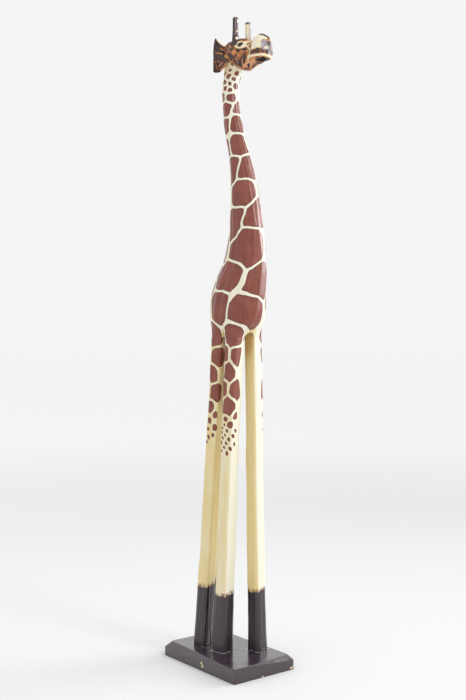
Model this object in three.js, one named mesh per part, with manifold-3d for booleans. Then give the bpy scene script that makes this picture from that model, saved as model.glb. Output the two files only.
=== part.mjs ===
// Carved wooden giraffe standing on a bevelled board.
// Millimetres, +Z up, origin at the centre of the board's underside, +X along the board's length.
import * as THREE from "three";
import { mergeVertices } from "three/addons/utils/BufferGeometryUtils.js";
import Module from "manifold-3d";

const wasm = await Module();
wasm.setup();

// ---- Driving dimensions ----

const GAP = 0.3; // glue line or clearance between two touching pieces

const BOARD = { length: 185, width: 119, height: 22, sideHeight: 15.5, bevel: 6.5 };

// The giraffe stands in its own frame: x forward, y to its left, turned a little on the board.
const STANCE = { x: -14, y: 7.5, headingDegrees: 12.5 };

// Each leg runs straight from its foot on the board to its top under the torso; one is a little stouter.
const LEG_TOP = 500;
const LEGS = {
  front_right: { foot: [15, -26], top: [31, -18], girth: 1.05 },
  front_left: { foot: [54, 12], top: [39, 19], girth: 1 },
  hind_right: { foot: [-30, -19.5], top: [3, -18], girth: 1 },
  hind_left: { foot: [-39, 21.5], top: [5, 17], girth: 1 },
};
// Half width of the square section up a leg: height above the floor, half width.
const LEG_SECTIONS = [
  [BOARD.height + GAP, 12.1],
  [70, 11.3],
  [190, 10.9],
  [330, 10.6],
  [LEG_TOP - GAP, 10.7],
];
const LEG_CHAMFER = 0.16; // share of the half width cut off each arris

// Horizontal sections of the torso and neck: height, centre, half length, half width, squareness.
const TORSO_SECTIONS = [
  [LEG_TOP, 21, 30.5, 30, 5],
  [520, 21.8, 36, 31.5, 3.6],
  [543, 22.8, 43.5, 32.5, 2.8],
  [565, 24, 45, 32, 2.4],
  [590, 29.5, 41.5, 30.5, 2.3],
  [620, 38, 34, 27, 2.2],
  [650, 41.3, 29.5, 24, 2.2],
  [700, 40.3, 25, 21, 2.2],
  [750, 35.3, 20, 17.6, 2.2],
  [790, 27.5, 16.8, 15.4, 2.1],
  [830, 17, 14.8, 14, 2.1],
  [870, 11, 13, 12.6, 2.1],
  [900, 10.5, 13.2, 12.8, 2.1],
  [918, 13, 12.6, 12.2, 2.1],
  [932, 15, 12.2, 12, 2.1],
];

// Upright sections of the head, nape to lips: distance forward, top, bottom, half width.
const HEAD_SECTIONS = [
  [2, 953, 935, 9],
  [8, 963, 930, 18],
  [22, 968, 927, 22],
  [31, 968.5, 923, 22.3],
  [38, 968, 920, 21.5],
  [45, 967, 919, 18.5],
  [51, 963.5, 920, 14.5],
  [57, 962, 922, 13.5],
  [63, 966.5, 924, 15.5],
  [71, 969, 925, 17],
  [79, 967, 926, 16],
  [84.5, 960, 928, 12],
  [87, 950, 935, 6],
];
const HEAD_SQUARENESS = 2.4;
const SEAT_Z = TORSO_SECTIONS.at(-1)[0]; // the neck's top face, in a pocket under the head

const HORN = {
  x: 32,
  y: 15.5,
  tip: 1000,
  root: 956,
  footRadius: 5,
  footHeight: 14,
  waist: 20,
  radius: 4.4,
  rim: 1.5,
};

const EAR = {
  root: [14, 19],
  middle: 943,
  reach: 19,
  height: 54,
  cup: 7,
  thickness: 4,
  sweepDegrees: 55,
  start: 2, // how far the fan begins inside its root point
  tipSetBack: 4.6, // how far its two tips stay behind the middle of its outer edge
  thinning: 0.55, // share of the thickness lost towards the edge
};
const EAR_PEG = { radius: 2.5, inside: 9, outside: 4 };

const TAIL = { root: 604, tip: 516, radius: 3, tuft: 3.4, tuftShare: 0.4, peg: 10, pegRadius: 2 };

const DOWEL = { radius: 4, inNeck: 24, inHead: 22, inTorso: 26, inLeg: 26 };

const SCREW = {
  headRadius: 4.2,
  headHeight: 3,
  rim: 0.5,
  shankRadius: 2,
  recess: 1,
  tip: 49,
  crossSpan: 4.6,
  crossWidth: 0.9,
  crossDepth: 1.5,
};

// ---- Colours ----

const paint = (color, roughness) => new THREE.MeshStandardMaterial({ color, roughness, metalness: 0 });
const FINISH = {
  blackPaint: () => paint(0x2b272b, 0.25),
  creamPaint: () => paint(0xf2edd2, 0.35),
  spottedPaint: () => paint(0x8c4b46, 0.35),
  burntWood: () => paint(0x6b4636, 0.4),
  bareWood: () => paint(0xc9a06a, 0.7),
  steel: () => new THREE.MeshStandardMaterial({ color: 0x9a9da0, roughness: 0.4, metalness: 1 }),
};

// ---- Geometry helpers ----

// Closes a stack of equal rings of points into one solid with a flat fan over each end.
function loft(rings) {
  const sides = rings[0].length;
  const points = rings.flat();
  const bottom = points.length;
  const top = bottom + 1;
  const middleOf = (ring) => ring.reduce((sum, p) => sum.add(p), new THREE.Vector3()).divideScalar(sides);
  points.push(middleOf(rings[0]), middleOf(rings.at(-1)));
  const faces = [];
  for (let i = 0; i < sides; i++) {
    const next = (i + 1) % sides;
    for (let r = 0; r < rings.length - 1; r++) {
      const [a, b, c, d] = [r * sides + i, r * sides + next, (r + 1) * sides + next, (r + 1) * sides + i];
      faces.push(a, b, c, a, c, d);
    }
    const lastRing = (rings.length - 1) * sides;
    faces.push(bottom, next, i, top, lastRing + i, lastRing + next);
  }
  const geometry = new THREE.BufferGeometry().setFromPoints(points);
  geometry.setIndex(faces);
  return geometry;
}

function toSolid(geometry) {
  const bare = geometry.clone();
  bare.deleteAttribute("normal");
  bare.deleteAttribute("uv");
  const merged = mergeVertices(bare, 1e-4);
  const vertProperties = new Float32Array(merged.getAttribute("position").array);
  const triVerts = new Uint32Array(merged.getIndex().array);
  return new wasm.Manifold(new wasm.Mesh({ numProp: 3, vertProperties, triVerts }));
}

function toGeometry(solid) {
  const mesh = solid.getMesh();
  const geometry = new THREE.BufferGeometry();
  geometry.setAttribute("position", new THREE.BufferAttribute(mesh.vertProperties, mesh.numProp));
  geometry.setIndex(new THREE.BufferAttribute(mesh.triVerts, 1));
  return geometry;
}

// Cuts every tool out of a body.
const cut = (body, tools) => toGeometry(tools.reduce((left, tool) => left.subtract(toSolid(tool)), toSolid(body)));

// A round rod between two points.
function rod(from, to, radius, sides = 16) {
  const along = new THREE.Vector3().subVectors(to, from);
  const geometry = new THREE.CylinderGeometry(radius, radius, along.length(), sides);
  const turn = new THREE.Quaternion().setFromUnitVectors(new THREE.Vector3(0, 1, 0), along.normalize());
  geometry.applyQuaternion(turn);
  const middle = new THREE.Vector3().addVectors(from, to).multiplyScalar(0.5);
  return geometry.translate(middle.x, middle.y, middle.z);
}

const signedPower = (value, power) => Math.sign(value) * Math.abs(value) ** power;

// A rounded-square curve; squareness 2 is an ellipse and larger is squarer.
function superellipse(halfLength, halfWidth, squareness, sides) {
  return Array.from({ length: sides }, (_, i) => {
    const angle = (2 * Math.PI * (i + 0.5)) / sides;
    const u = halfLength * signedPower(Math.cos(angle), 2 / squareness);
    const v = halfWidth * signedPower(Math.sin(angle), 2 / squareness);
    return [u, v];
  });
}

// Values of a table's columns at a given first column, straight between its rows.
function interpolate(table, at) {
  const next = table.findIndex((row) => row[0] >= at);
  const high = table[Math.max(next, 1)];
  const low = table[Math.max(next, 1) - 1];
  const share = (at - low[0]) / (high[0] - low[0]);
  return low.map((value, i) => value + (high[i] - value) * share);
}

// ---- Board ----

function boardBlank() {
  const ring = (inset, z) => {
    const x = BOARD.length / 2 - inset;
    const y = BOARD.width / 2 - inset;
    return [[x, -y], [x, y], [-x, y], [-x, -y]].map(([px, py]) => new THREE.Vector3(px, py, z));
  };
  return loft([ring(0, 0), ring(0, BOARD.sideHeight), ring(BOARD.bevel, BOARD.height)]);
}

// A point of the giraffe's frame seen in the board's frame.
function onBoard(x, y, z) {
  const heading = THREE.MathUtils.degToRad(STANCE.headingDegrees);
  const point = new THREE.Vector3(x, y, z).applyAxisAngle(new THREE.Vector3(0, 0, 1), heading);
  return point.add(new THREE.Vector3(STANCE.x, STANCE.y, 0));
}

function boardGeometry() {
  const holes = Object.values(LEGS).map((leg) => {
    const at = onBoard(...leg.foot, 0);
    return screwBody(-1, BOARD.height + 1, GAP).translate(at.x, at.y, 0);
  });
  return cut(boardBlank(), holes);
}

// ---- Screws, one up through the board into each foot ----

// A countersunk screw from its head's face up to its tip, grown by a clearance.
function screwBody(face, tip, clearance) {
  const head = SCREW.headRadius + clearance;
  const shank = SCREW.shankRadius + clearance;
  const profile = [
    [0, face],
    [head, face],
    [head, SCREW.recess + SCREW.rim],
    [shank, SCREW.recess + SCREW.headHeight],
    [shank, tip],
    [0, tip],
  ].map(([r, z]) => new THREE.Vector2(r, z));
  return new THREE.LatheGeometry(profile, 16).rotateX(Math.PI / 2);
}

// The driver's cross-shaped recess under the head.
function driverCross() {
  const depth = 2 * SCREW.crossDepth;
  const slots = [[SCREW.crossSpan, SCREW.crossWidth], [SCREW.crossWidth, SCREW.crossSpan]];
  return slots.map(([x, y]) => new THREE.BoxGeometry(x, y, depth).translate(0, 0, SCREW.recess));
}

function screwGeometry(leg) {
  return cut(screwBody(SCREW.recess, SCREW.tip, 0), driverCross()).translate(...leg.foot, 0);
}

// ---- Legs ----

// The middle of a leg at a given height.
function legMiddle(leg, z) {
  const share = (z - BOARD.height) / (LEG_TOP - BOARD.height);
  const x = THREE.MathUtils.lerp(leg.foot[0], leg.top[0], share);
  const y = THREE.MathUtils.lerp(leg.foot[1], leg.top[1], share);
  return new THREE.Vector3(x, y, z);
}

function legBlank(leg) {
  const rings = LEG_SECTIONS.map(([z, commonHalf]) => {
    const half = commonHalf * leg.girth;
    const flat = half * (1 - LEG_CHAMFER);
    const corners = [[half, -flat], [half, flat], [flat, half], [-flat, half]];
    const opposite = corners.map(([x, y]) => [-x, -y]);
    return [...corners, ...opposite].map(([x, y]) => new THREE.Vector3(x, y, 0).add(legMiddle(leg, z)));
  });
  return loft(rings);
}

function legDowel(leg, clearance) {
  const from = legMiddle(leg, LEG_TOP - DOWEL.inLeg - clearance);
  const to = legMiddle(leg, LEG_TOP + DOWEL.inTorso + clearance);
  return rod(from, to, DOWEL.radius + clearance);
}

function legGeometry(leg) {
  const pilot = screwBody(0, SCREW.tip + GAP, GAP).translate(...leg.foot, 0);
  return cut(legBlank(leg), [pilot, legDowel(leg, GAP)]);
}

// ---- Torso and neck ----

function torsoBlank(clearance = 0, rise = 0) {
  const rings = TORSO_SECTIONS.map(([z, x, halfLength, halfWidth, squareness], i) => {
    const top = i === TORSO_SECTIONS.length - 1;
    const outline = superellipse(halfLength + clearance, halfWidth + clearance, squareness, 24);
    return outline.map(([u, v]) => new THREE.Vector3(x + u, v, z + (top ? rise : 0)));
  });
  return loft(rings);
}

const neckTop = TORSO_SECTIONS.at(-1);

function neckDowel(clearance) {
  const from = new THREE.Vector3(neckTop[1], 0, SEAT_Z - DOWEL.inNeck - clearance);
  const to = new THREE.Vector3(neckTop[1], 0, SEAT_Z + DOWEL.inHead + clearance);
  return rod(from, to, DOWEL.radius + clearance);
}

function torsoGeometry() {
  const sockets = Object.values(LEGS).map((leg) => legDowel(leg, GAP));
  return cut(torsoBlank(), [...sockets, neckDowel(GAP), tailPeg(GAP)]);
}

// ---- Tail ----

// The back line of the rump at a given height.
function rumpBack(z) {
  const [, x, halfLength] = interpolate(TORSO_SECTIONS, z);
  return x - halfLength;
}

// The tail's middle line hangs close behind the rump.
const tailLine = (z, radius) => Math.min(rumpBack(z), rumpBack(z - TAIL.radius * 2)) - radius - 2 * GAP;

function tailPeg(clearance) {
  const z = TAIL.root - TAIL.radius;
  const from = new THREE.Vector3(tailLine(z, TAIL.radius), 0, z);
  const to = new THREE.Vector3(rumpBack(z) + TAIL.peg + clearance, 0, z);
  return rod(from, to, TAIL.pegRadius + clearance, 12);
}

// The tuft is thin at its end, fullest in its middle and gathered where it meets the cord.
const tuftRadius = (share) => TAIL.tuft * Math.sin(Math.PI * (0.2 + 0.56 * share));

function tailGeometry() {
  const steps = 10;
  const rings = Array.from({ length: steps + 1 }, (_, i) => {
    const share = i / steps;
    const z = THREE.MathUtils.lerp(TAIL.tip, TAIL.root, share);
    const swell = share < TAIL.tuftShare ? tuftRadius(share / TAIL.tuftShare) : TAIL.radius;
    const outline = superellipse(swell, swell, 2, 8);
    return outline.map(([u, v]) => new THREE.Vector3(tailLine(z, swell) + u, v, z));
  });
  return toGeometry(toSolid(loft(rings)).subtract(toSolid(torsoBlank(GAP))).add(toSolid(tailPeg(0))));
}

// ---- Head ----

function headBlank(clearance = 0) {
  const rings = HEAD_SECTIONS.map(([x, top, bottom, halfWidth]) => {
    const middle = (top + bottom) / 2;
    const halfHeight = (top - bottom) / 2 + clearance;
    const outline = superellipse(halfWidth + clearance, halfHeight, HEAD_SQUARENESS, 20);
    return outline.map(([v, w]) => new THREE.Vector3(x, v, middle + w));
  });
  return loft(rings);
}

function headGeometry() {
  const bores = [-1, 1].flatMap((side) => [hornRod(side, GAP), earPeg(side, GAP)]);
  return cut(headBlank(), [torsoBlank(GAP, GAP), neckDowel(GAP), ...bores]);
}

// ---- Horns ----

function hornRod(side, clearance) {
  const from = new THREE.Vector3(HORN.x, side * HORN.y, HORN.root - clearance);
  const to = new THREE.Vector3(HORN.x, side * HORN.y, HORN.tip);
  return rod(from, to, HORN.footRadius + clearance);
}

function hornGeometry(side) {
  const profile = [
    [0, HORN.root],
    [HORN.footRadius, HORN.root],
    [HORN.footRadius, HORN.root + HORN.footHeight],
    [HORN.radius, HORN.root + HORN.waist],
    [HORN.radius, HORN.tip - HORN.rim],
    [HORN.radius - HORN.rim, HORN.tip],
    [0, HORN.tip],
  ].map(([r, z]) => new THREE.Vector2(r, z));
  return new THREE.LatheGeometry(profile, 16).rotateX(Math.PI / 2).translate(HORN.x, side * HORN.y, 0);
}

// ---- Ears ----

// The direction an ear leaves the head: outwards and swept back.
function earDirection(side) {
  const sweep = THREE.MathUtils.degToRad(EAR.sweepDegrees);
  return new THREE.Vector3(-Math.sin(sweep), side * Math.cos(sweep), 0);
}

function earPeg(side, clearance) {
  const root = new THREE.Vector3(EAR.root[0], side * EAR.root[1], EAR.middle);
  const inside = root.clone().addScaledVector(earDirection(side), -EAR_PEG.inside - clearance);
  const outside = root.clone().addScaledVector(earDirection(side), EAR_PEG.outside);
  return rod(inside, outside, EAR_PEG.radius + clearance, 12);
}

// A cupped fan: narrow at the head, tall at its outer edge, hollow side forward.
function earFan(side) {
  const out = earDirection(side);
  const forward = new THREE.Vector3(Math.abs(out.y), -side * out.x, 0);
  const steps = 6;
  const sides = 16;
  const ring = (share) => {
    const halfHeight = (EAR.height / 2) * Math.sin((Math.PI / 2) * Math.min(1, 0.32 + share));
    const thickness = EAR.thickness * (1 - EAR.thinning * share);
    const outline = Array.from({ length: sides }, (_, i) => {
      const angle = (2 * Math.PI * (i + 0.5)) / sides;
      const across = Math.cos(angle);
      const cupped = EAR.cup * share * (across ** 2 - 0.5) + (thickness / 2) * Math.sin(angle);
      const reach = (EAR.start + EAR.reach - EAR.tipSetBack * across ** 2) * share - EAR.start;
      const point = new THREE.Vector3(EAR.root[0], side * EAR.root[1], EAR.middle + halfHeight * across);
      return point.addScaledVector(out, reach).addScaledVector(forward, cupped);
    });
    return side > 0 ? outline : outline.reverse();
  };
  return loft(Array.from({ length: steps + 1 }, (_, i) => ring(i / steps)));
}

function earGeometry(side) {
  const fan = toSolid(earFan(side)).subtract(toSolid(headBlank(GAP)));
  return toGeometry(fan.add(toSolid(earPeg(side, 0))));
}

// ---- Assembly ----

const group = new THREE.Group();
const giraffe = new THREE.Group();
giraffe.position.set(STANCE.x, STANCE.y, 0);
giraffe.rotation.z = THREE.MathUtils.degToRad(STANCE.headingDegrees);
group.add(giraffe);

function addPiece(parent, name, geometry, material) {
  const mesh = new THREE.Mesh(geometry, material);
  mesh.name = name;
  parent.add(mesh);
}

addPiece(group, "base_board", boardGeometry(), FINISH.blackPaint());
addPiece(giraffe, "torso_and_neck", torsoGeometry(), FINISH.spottedPaint());
addPiece(giraffe, "head", headGeometry(), FINISH.burntWood());
addPiece(giraffe, "neck_dowel", neckDowel(0), FINISH.bareWood());
addPiece(giraffe, "tail", tailGeometry(), FINISH.burntWood());

for (const [place, leg] of Object.entries(LEGS)) {
  addPiece(giraffe, `leg_${place}`, legGeometry(leg), FINISH.creamPaint());
  addPiece(giraffe, `leg_dowel_${place}`, legDowel(leg, 0), FINISH.bareWood());
  addPiece(giraffe, `base_screw_${place}`, screwGeometry(leg), FINISH.steel());
}

for (const [place, side] of [["right", -1], ["left", 1]]) {
  addPiece(giraffe, `horn_${place}`, hornGeometry(side), FINISH.burntWood());
  addPiece(giraffe, `ear_${place}`, earGeometry(side), FINISH.burntWood());
}

export default group;
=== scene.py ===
"""Carved wooden giraffe on a black board: the looks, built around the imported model.

Shapes are worked out in the giraffe's own frame, in millimetres (x forward, y to its left, z up from the
floor), and turned and scaled into the model's frame, in metres, when a piece is made.
"""
import itertools
import math

import bpy
import numpy as np
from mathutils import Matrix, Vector


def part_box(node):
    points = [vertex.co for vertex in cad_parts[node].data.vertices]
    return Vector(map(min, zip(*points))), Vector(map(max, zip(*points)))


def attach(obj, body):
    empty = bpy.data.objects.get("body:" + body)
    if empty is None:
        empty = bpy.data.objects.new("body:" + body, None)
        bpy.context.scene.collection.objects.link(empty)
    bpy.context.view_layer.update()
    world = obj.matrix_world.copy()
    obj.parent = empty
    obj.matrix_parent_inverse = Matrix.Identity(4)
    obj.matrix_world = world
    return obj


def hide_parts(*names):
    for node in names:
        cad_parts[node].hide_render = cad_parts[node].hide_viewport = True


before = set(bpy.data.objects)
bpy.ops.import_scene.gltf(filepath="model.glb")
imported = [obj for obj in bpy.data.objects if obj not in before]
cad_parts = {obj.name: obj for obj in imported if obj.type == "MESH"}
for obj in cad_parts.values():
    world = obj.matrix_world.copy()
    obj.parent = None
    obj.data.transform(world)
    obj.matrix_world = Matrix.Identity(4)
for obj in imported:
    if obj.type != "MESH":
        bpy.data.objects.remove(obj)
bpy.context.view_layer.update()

# ---- Driving dimensions, millimetres and degrees, as in the model ----

STANCE = (-14.0, 7.5)
HEADING = 12.5
BOARD_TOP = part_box("base_board")[1].z * 1000
BOARD_SIDE = 15.5
BOARD_BEVEL = 6.5
LEG_TOP = 500.0
# Middle of each leg's foot and top, and how much stouter than the others it is.
LEGS = {
    "front_right": ((15, -26), (31, -18), 1.05),
    "front_left": ((54, 12), (39, 19), 1.0),
    "hind_right": ((-30, -19.5), (3, -18), 1.0),
    "hind_left": ((-39, 21.5), (5, 17), 1.0),
}
# Height above the floor and half width of the leg's square section.
LEG_SECTIONS = ((22, 12.1), (70, 11.3), (190, 10.9), (330, 10.6), (500, 10.7))
LEG_SQUARENESS = 8.0
LEG_RADIUS = 13.0
# Height above the floor where each leg's black sock ends.
SOCKS = {"front_right": 110.5, "front_left": 114.5, "hind_right": 117, "hind_left": 119}

# Height, middle, half length, half width and squareness of the torso and neck.
TORSO_SECTIONS = (
    (500, 21, 30.5, 30, 5),
    (520, 21.8, 36, 31.5, 3.6),
    (543, 22.8, 43, 32.5, 2.8),
    (565, 24, 45, 32, 2.4),
    (590, 29.5, 41.5, 30.5, 2.3),
    (620, 38, 34, 27, 2.2),
    (650, 41.3, 29.5, 24, 2.2),
    (700, 40.3, 25, 21, 2.2),
    (750, 35.3, 20, 17.6, 2.2),
    (790, 27.5, 16.8, 15.4, 2.1),
    (830, 17, 14.8, 14, 2.1),
    (870, 11, 13, 12.6, 2.1),
    (900, 10.5, 13.2, 12.8, 2.1),
    (915, 12.6, 12.8, 12.4, 2.1),
    (926, 16, 15.5, 13.4, 2.1),
    (936, 18, 17, 14, 2.1),
)

# Distance forward, top, bottom and half width of the head, nape to lips.
HEAD_SECTIONS = (
    (1.5, 950, 940, 3),
    (4, 956, 935, 12),
    (10, 964, 931.5, 18.5),
    (22, 968, 929, 22),
    (31, 968.5, 923.5, 22.3),
    (38, 968, 920, 21.5),
    (45, 967, 919, 18.5),
    (51, 963.5, 920, 14),
    (57, 962, 922, 12.5),
    (63, 966.5, 924, 15.5),
    (71, 969, 925, 17),
    (79, 967, 926, 16),
    (84.5, 960, 928, 12),
    (87.3, 950, 935, 4),
)
HEAD_SQUARENESS = 2.3

HORN = {"x": 32, "y": 15.5}

# ---- Numbers ----


def lattice(cells, seed):
    """A fixed random number from 0 to 1 for each whole-number point."""
    cells = np.asarray(cells).astype(np.int64)
    n = cells[..., 0] * 73856093 ^ cells[..., 1] * 19349663 ^ cells[..., 2] * 83492791 ^ (seed * 26544357)
    n = (n ^ (n >> 13)) * 1274126177
    n = n ^ (n >> 16)
    return (n & 0xFFFFFF) / float(0xFFFFFF)


def noise(points, size, seed):
    """Smooth random values from -1 to 1 that change over about size millimetres."""
    scaled = np.asarray(points, float) / size
    cell = np.floor(scaled)
    part = scaled - cell
    part = part * part * (3 - 2 * part)
    total = 0.0
    for corner in itertools.product((0, 1), repeat=3):
        weight = np.prod(np.where(np.array(corner) == 1, part, 1 - part), axis=-1)
        total = total + weight * lattice(cell + corner, seed)
    return total * 2 - 1


def smoothstep(value, low, high):
    """0 at low, 1 at high and smooth between."""
    t = np.clip((value - low) / (high - low), 0, 1)
    return t * t * (3 - 2 * t)


def bell(distance, width, power=2):
    """1 at no distance, falling to 0 over about twice the width."""
    return np.exp(-((distance / width) ** power))


def curve(at, table, column):
    """A smooth curve through one column of a table of rows that start with their place."""
    xs = np.array([row[0] for row in table], float)
    ys = np.array([row[column] for row in table], float)
    slopes = np.gradient(ys, xs)
    at = np.clip(at, xs[0], xs[-1])
    i = np.clip(np.searchsorted(xs, at) - 1, 0, len(xs) - 2)
    span = xs[i + 1] - xs[i]
    t = (at - xs[i]) / span
    rise = (2 * t**3 - 3 * t**2 + 1) * ys[i] + (3 * t**2 - 2 * t**3) * ys[i + 1]
    return rise + span * ((t**3 - 2 * t**2 + t) * slopes[i] + (t**3 - t**2) * slopes[i + 1])


def superellipse_radius(angle, half_length, half_width, squareness):
    """How far a rounded box reaches from its middle: squareness 2 is an ellipse, 8 is nearly a box."""
    along = np.abs(np.cos(angle) / half_length) ** squareness
    across = np.abs(np.sin(angle) / half_width) ** squareness
    return (along + across) ** (-1 / squareness)


def knife_cuts(turn, along, columns, length, seed):
    """Height left by overlapping long cuts round a piece, from about -0.3 in a cut to 0.7 on a ridge.
    The turn is 0 to 1 round the piece; along and the length of a cut are in millimetres."""
    u = turn * columns
    v = along / length
    best = np.full(np.broadcast(u, v).shape, np.inf)
    for du, dv in itertools.product((-1, 0, 1), repeat=2):
        i = np.floor(u) + du
        j = np.floor(v) + dv
        cell = np.stack(np.broadcast_arrays(i % columns, j, 0.0), axis=-1)
        middle_u = i + 0.5 + 0.5 * (lattice(cell, seed) - 0.5)
        middle_v = j + 0.5 + 0.7 * (lattice(cell, seed + 1) - 0.5)
        bowl = ((u - middle_u) * 2) ** 2 + (0.8 * (v - middle_v) * 2) ** 2 + 0.7 * lattice(cell, seed + 2)
        best = np.minimum(best, bowl)
    return best - 0.35


# ---- Painted patches ----

# Each patch: height, angle from straight ahead (negative is the right side), width, height, how far its
# top leans towards the left side, and how much narrower its top is than its foot.
NECK_DOTS = (
    (930, -63, 3, 6, -4, 0), (921.5, -70, 6.4, 5.6, 0, 0), (918, -117, 4.6, 6.4, 0, 0),
    (916, -17, 7.8, 6.8, 0, 0), (913, -74, 8.2, 9.4, 1, 0), (907.5, -34, 8, 7.6, 0, 0),
    (904.5, -102, 6.6, 8.8, 0, 0), (901, -58, 6.8, 7.4, 0, 0), (897.5, -15, 9.6, 10.4, -1, 0),
    (894, -97, 6.6, 8.2, 1, 0), (890.5, -56, 8, 6.8, 0, 0), (906, 22, 4, 7, 0, 0),
)
BODY_PATCHES = (
    (882, -122, 10, 15, 0, 0), (878, -48, 16, 15, 1, 0), (861, -97, 19, 24, 2, -0.5),
    (864.5, -5, 15, 21, 4, 0.6), (835, -118, 17, 27, 3, -0.5), (838, -18, 26, 29, 3, 0.5),
    (800, -136, 14, 33, 0, 0), (803, -38, 35, 36, 2, 0.25), (762, -113, 24, 45, 4, -0.7),
    (769, -15, 32, 43, 11, 0.9), (728, -61, 47, 45, 5, 0.2), (697, -8, 40, 49, 15, 0.9),
    (678, -105, 33, 53, 7, -0.6), (641, -50, 64, 64, 6, 0), (600, -97, 54, 57, 12, 0.25),
    (591, -2, 50, 62, 12, 0.2), (546.5, -27, 60, 61, 6, 0.35), (553, -110, 38, 60, -7, -0.25),
    (583, -146, 16, 27, 0, 0),
)
# On the chest and the back, between the patches above and their copies on the other side.
FILLER_PATCHES = (
    (643, 36, 17, 46, 2, 0.2), (729, 29, 10, 34, 0, 0), (640, -154, 18, 46, 0, 0.3),
    (726, -160, 13, 36, 0, 0), (560, 30, 12, 26, 0, 0), (806, 17, 8, 18, 0, 0),
)
# The patch across the top of each leg, which runs up on to the torso.
TOP_PATCHES = {
    "front_right": (512, -54, 33, 43, -3, 0.25),
    "front_left": (510, 68, 27, 30, 0, 0),
    "hind_right": (512, -103, 25, 39, -6, 0.5),
    "hind_left": (511, 96, 28, 38, 4, 0.2),
}
FRONT_LEG_PATCHES = (
    (481, -120, 8, 26, 0, 0), (475, -28, 21, 34, 4, -0.2),
    (453, -78, 22, 33, 2, 0.1), (427, -122, 10, 27, 0, 0), (425, -26, 21, 35, 3, 0.5),
    (401, -76, 24, 32, 3, 0.3),
)
HIND_LEG_PATCHES = (
    (475, -62, 28, 32, 0, 0), (450, -96, 17, 32, -3, 0),
    (420, -66, 24, 30, 0, 0), (399, -98, 13, 22, 0, 0.2),
)
BACK_LEG_PATCHES = (
    (508, 172, 24, 36, 0, 0), (467, 166, 18, 32, 0, 0), (432, 176, 19, 27, 0, 0), (404, 168, 14, 20, 0, 0),
)
# Small dots below the patches: height, angle and size.
FRONT_LEG_DOTS = (
    (385.5, -20, 10.5), (381.5, -100, 9.5), (371.5, -58, 10.5), (371.5, -108, 5), (366, -124, 4.6),
    (362.5, -76, 5.5), (362, -8, 5), (360, -130, 4.8), (354, -30, 5.8), (355.5, -100, 4),
    (350.5, -120, 4.4), (349.5, -64, 5.8), (344, -134, 5), (343, -88, 6), (341.5, -18, 5.4),
    (337.5, -148, 4), (336, -106, 5), (334.5, -52, 5.6), (332, -124, 4.6), (328, -72, 6),
)
HIND_LEG_DOTS = (
    (386, -62, 9.5), (376.5, -112, 8), (366.5, -58, 9), (363.5, -118, 5), (354.5, -68, 6),
    (349.5, -110, 6.4), (343.5, -128, 4.8), (372, -150, 5), (358, -160, 4.6),
)
PAINTED_LINE = 3.6
# Degrees by which a left leg's mirrored patches and dots are turned round it.
PATCH_TURN = 46
DOT_TURN = 32


def dots(rows):
    return tuple((height, angle, size, size * 1.15, -1, 0) for height, angle, size in rows)


def leg_patches(place):
    patches, below = HIND_LEG_PATCHES, dots(HIND_LEG_DOTS)
    if place.startswith("front"):
        patches, below = FRONT_LEG_PATCHES, dots(FRONT_LEG_DOTS)
    if place.endswith("left"):
        patches, below = mirrored(patches, PATCH_TURN), mirrored(below, DOT_TURN)
    return patches + below + BACK_LEG_PATCHES + (TOP_PATCHES[place],)


def half_turn(patches, drop):
    """The same patches on the other side, a little lower or higher."""
    return tuple((height - drop, angle + 180, *shape) for height, angle, *shape in patches)


def mirrored(patches, turn):
    """The same patches on a left leg, turned a little further round it."""
    return tuple((height, turn - angle, width, tall, -lean, taper)
                 for height, angle, width, tall, lean, taper in patches)


def patch_distance(angle, height, radius, patch):
    """Signed distance from one patch in millimetres, negative inside."""
    middle, turn, width, tall, lean, taper = patch
    across = np.radians((np.degrees(angle) - turn + 180) % 360 - 180) * radius
    share = np.clip((height - middle) / tall, -1, 1)
    half = width / 2 * (1 - taper * share)
    corner = np.minimum(0.42 * min(width, tall), 0.9 * half)
    x = np.abs(across - lean * share) - half + corner
    y = np.abs(height - middle) - tall / 2 + corner
    return np.hypot(np.maximum(x, 0), np.maximum(y, 0)) + np.minimum(np.maximum(x, y), 0) - corner


def patch_depth(distances):
    """How far inside a patch each point is, in millimetres; negative on the cream between patches.
    Where two patches meet a line stays cream, and their corners are rounded off."""
    distances = np.sort(np.stack(distances), axis=0)
    nearest = distances[0]
    softness = np.clip(-distances[0] * 0.16, 0.15, 2.2)
    limits = [nearest] + [(PAINTED_LINE + nearest - other) / 2 for other in distances[1:4]]
    top = np.maximum.reduce(limits)
    total = sum(np.exp((limit - top) / softness) for limit in limits)
    return -(top + softness * np.log(total) * (nearest < 0))


def shaken(points, size=14.0, reach=1.2):
    """The points moved a little, so that lines painted by them wander."""
    return points + reach * np.stack([noise(points, size, seed) for seed in (51, 52, 53)], axis=-1)


# ---- Meshes ----


def in_model(points):
    """Giraffe millimetres to model metres."""
    heading = math.radians(HEADING)
    x = points[..., 0] * math.cos(heading) - points[..., 1] * math.sin(heading) + STANCE[0]
    y = points[..., 0] * math.sin(heading) + points[..., 1] * math.cos(heading) + STANCE[1]
    return np.stack([x, y, points[..., 2]], axis=-1) / 1000


def grid_faces(rows, columns):
    """Quads of a grid that closes on itself along its rows."""
    i, j = np.meshgrid(np.arange(rows - 1), np.arange(columns), indexing="ij")
    following = (j + 1) % columns
    quads = [i * columns + j, i * columns + following, (i + 1) * columns + following, (i + 1) * columns + j]
    return np.stack(quads, axis=-1).reshape(-1, 4)


def grid_normals(points):
    """Outward directions on a grid whose rows run round a piece."""
    around = np.roll(points, -1, axis=1) - np.roll(points, 1, axis=1)
    along = np.gradient(points, axis=0)
    normal = np.cross(around, along)
    return normal / np.maximum(np.linalg.norm(normal, axis=-1, keepdims=True), 1e-9)


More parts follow.
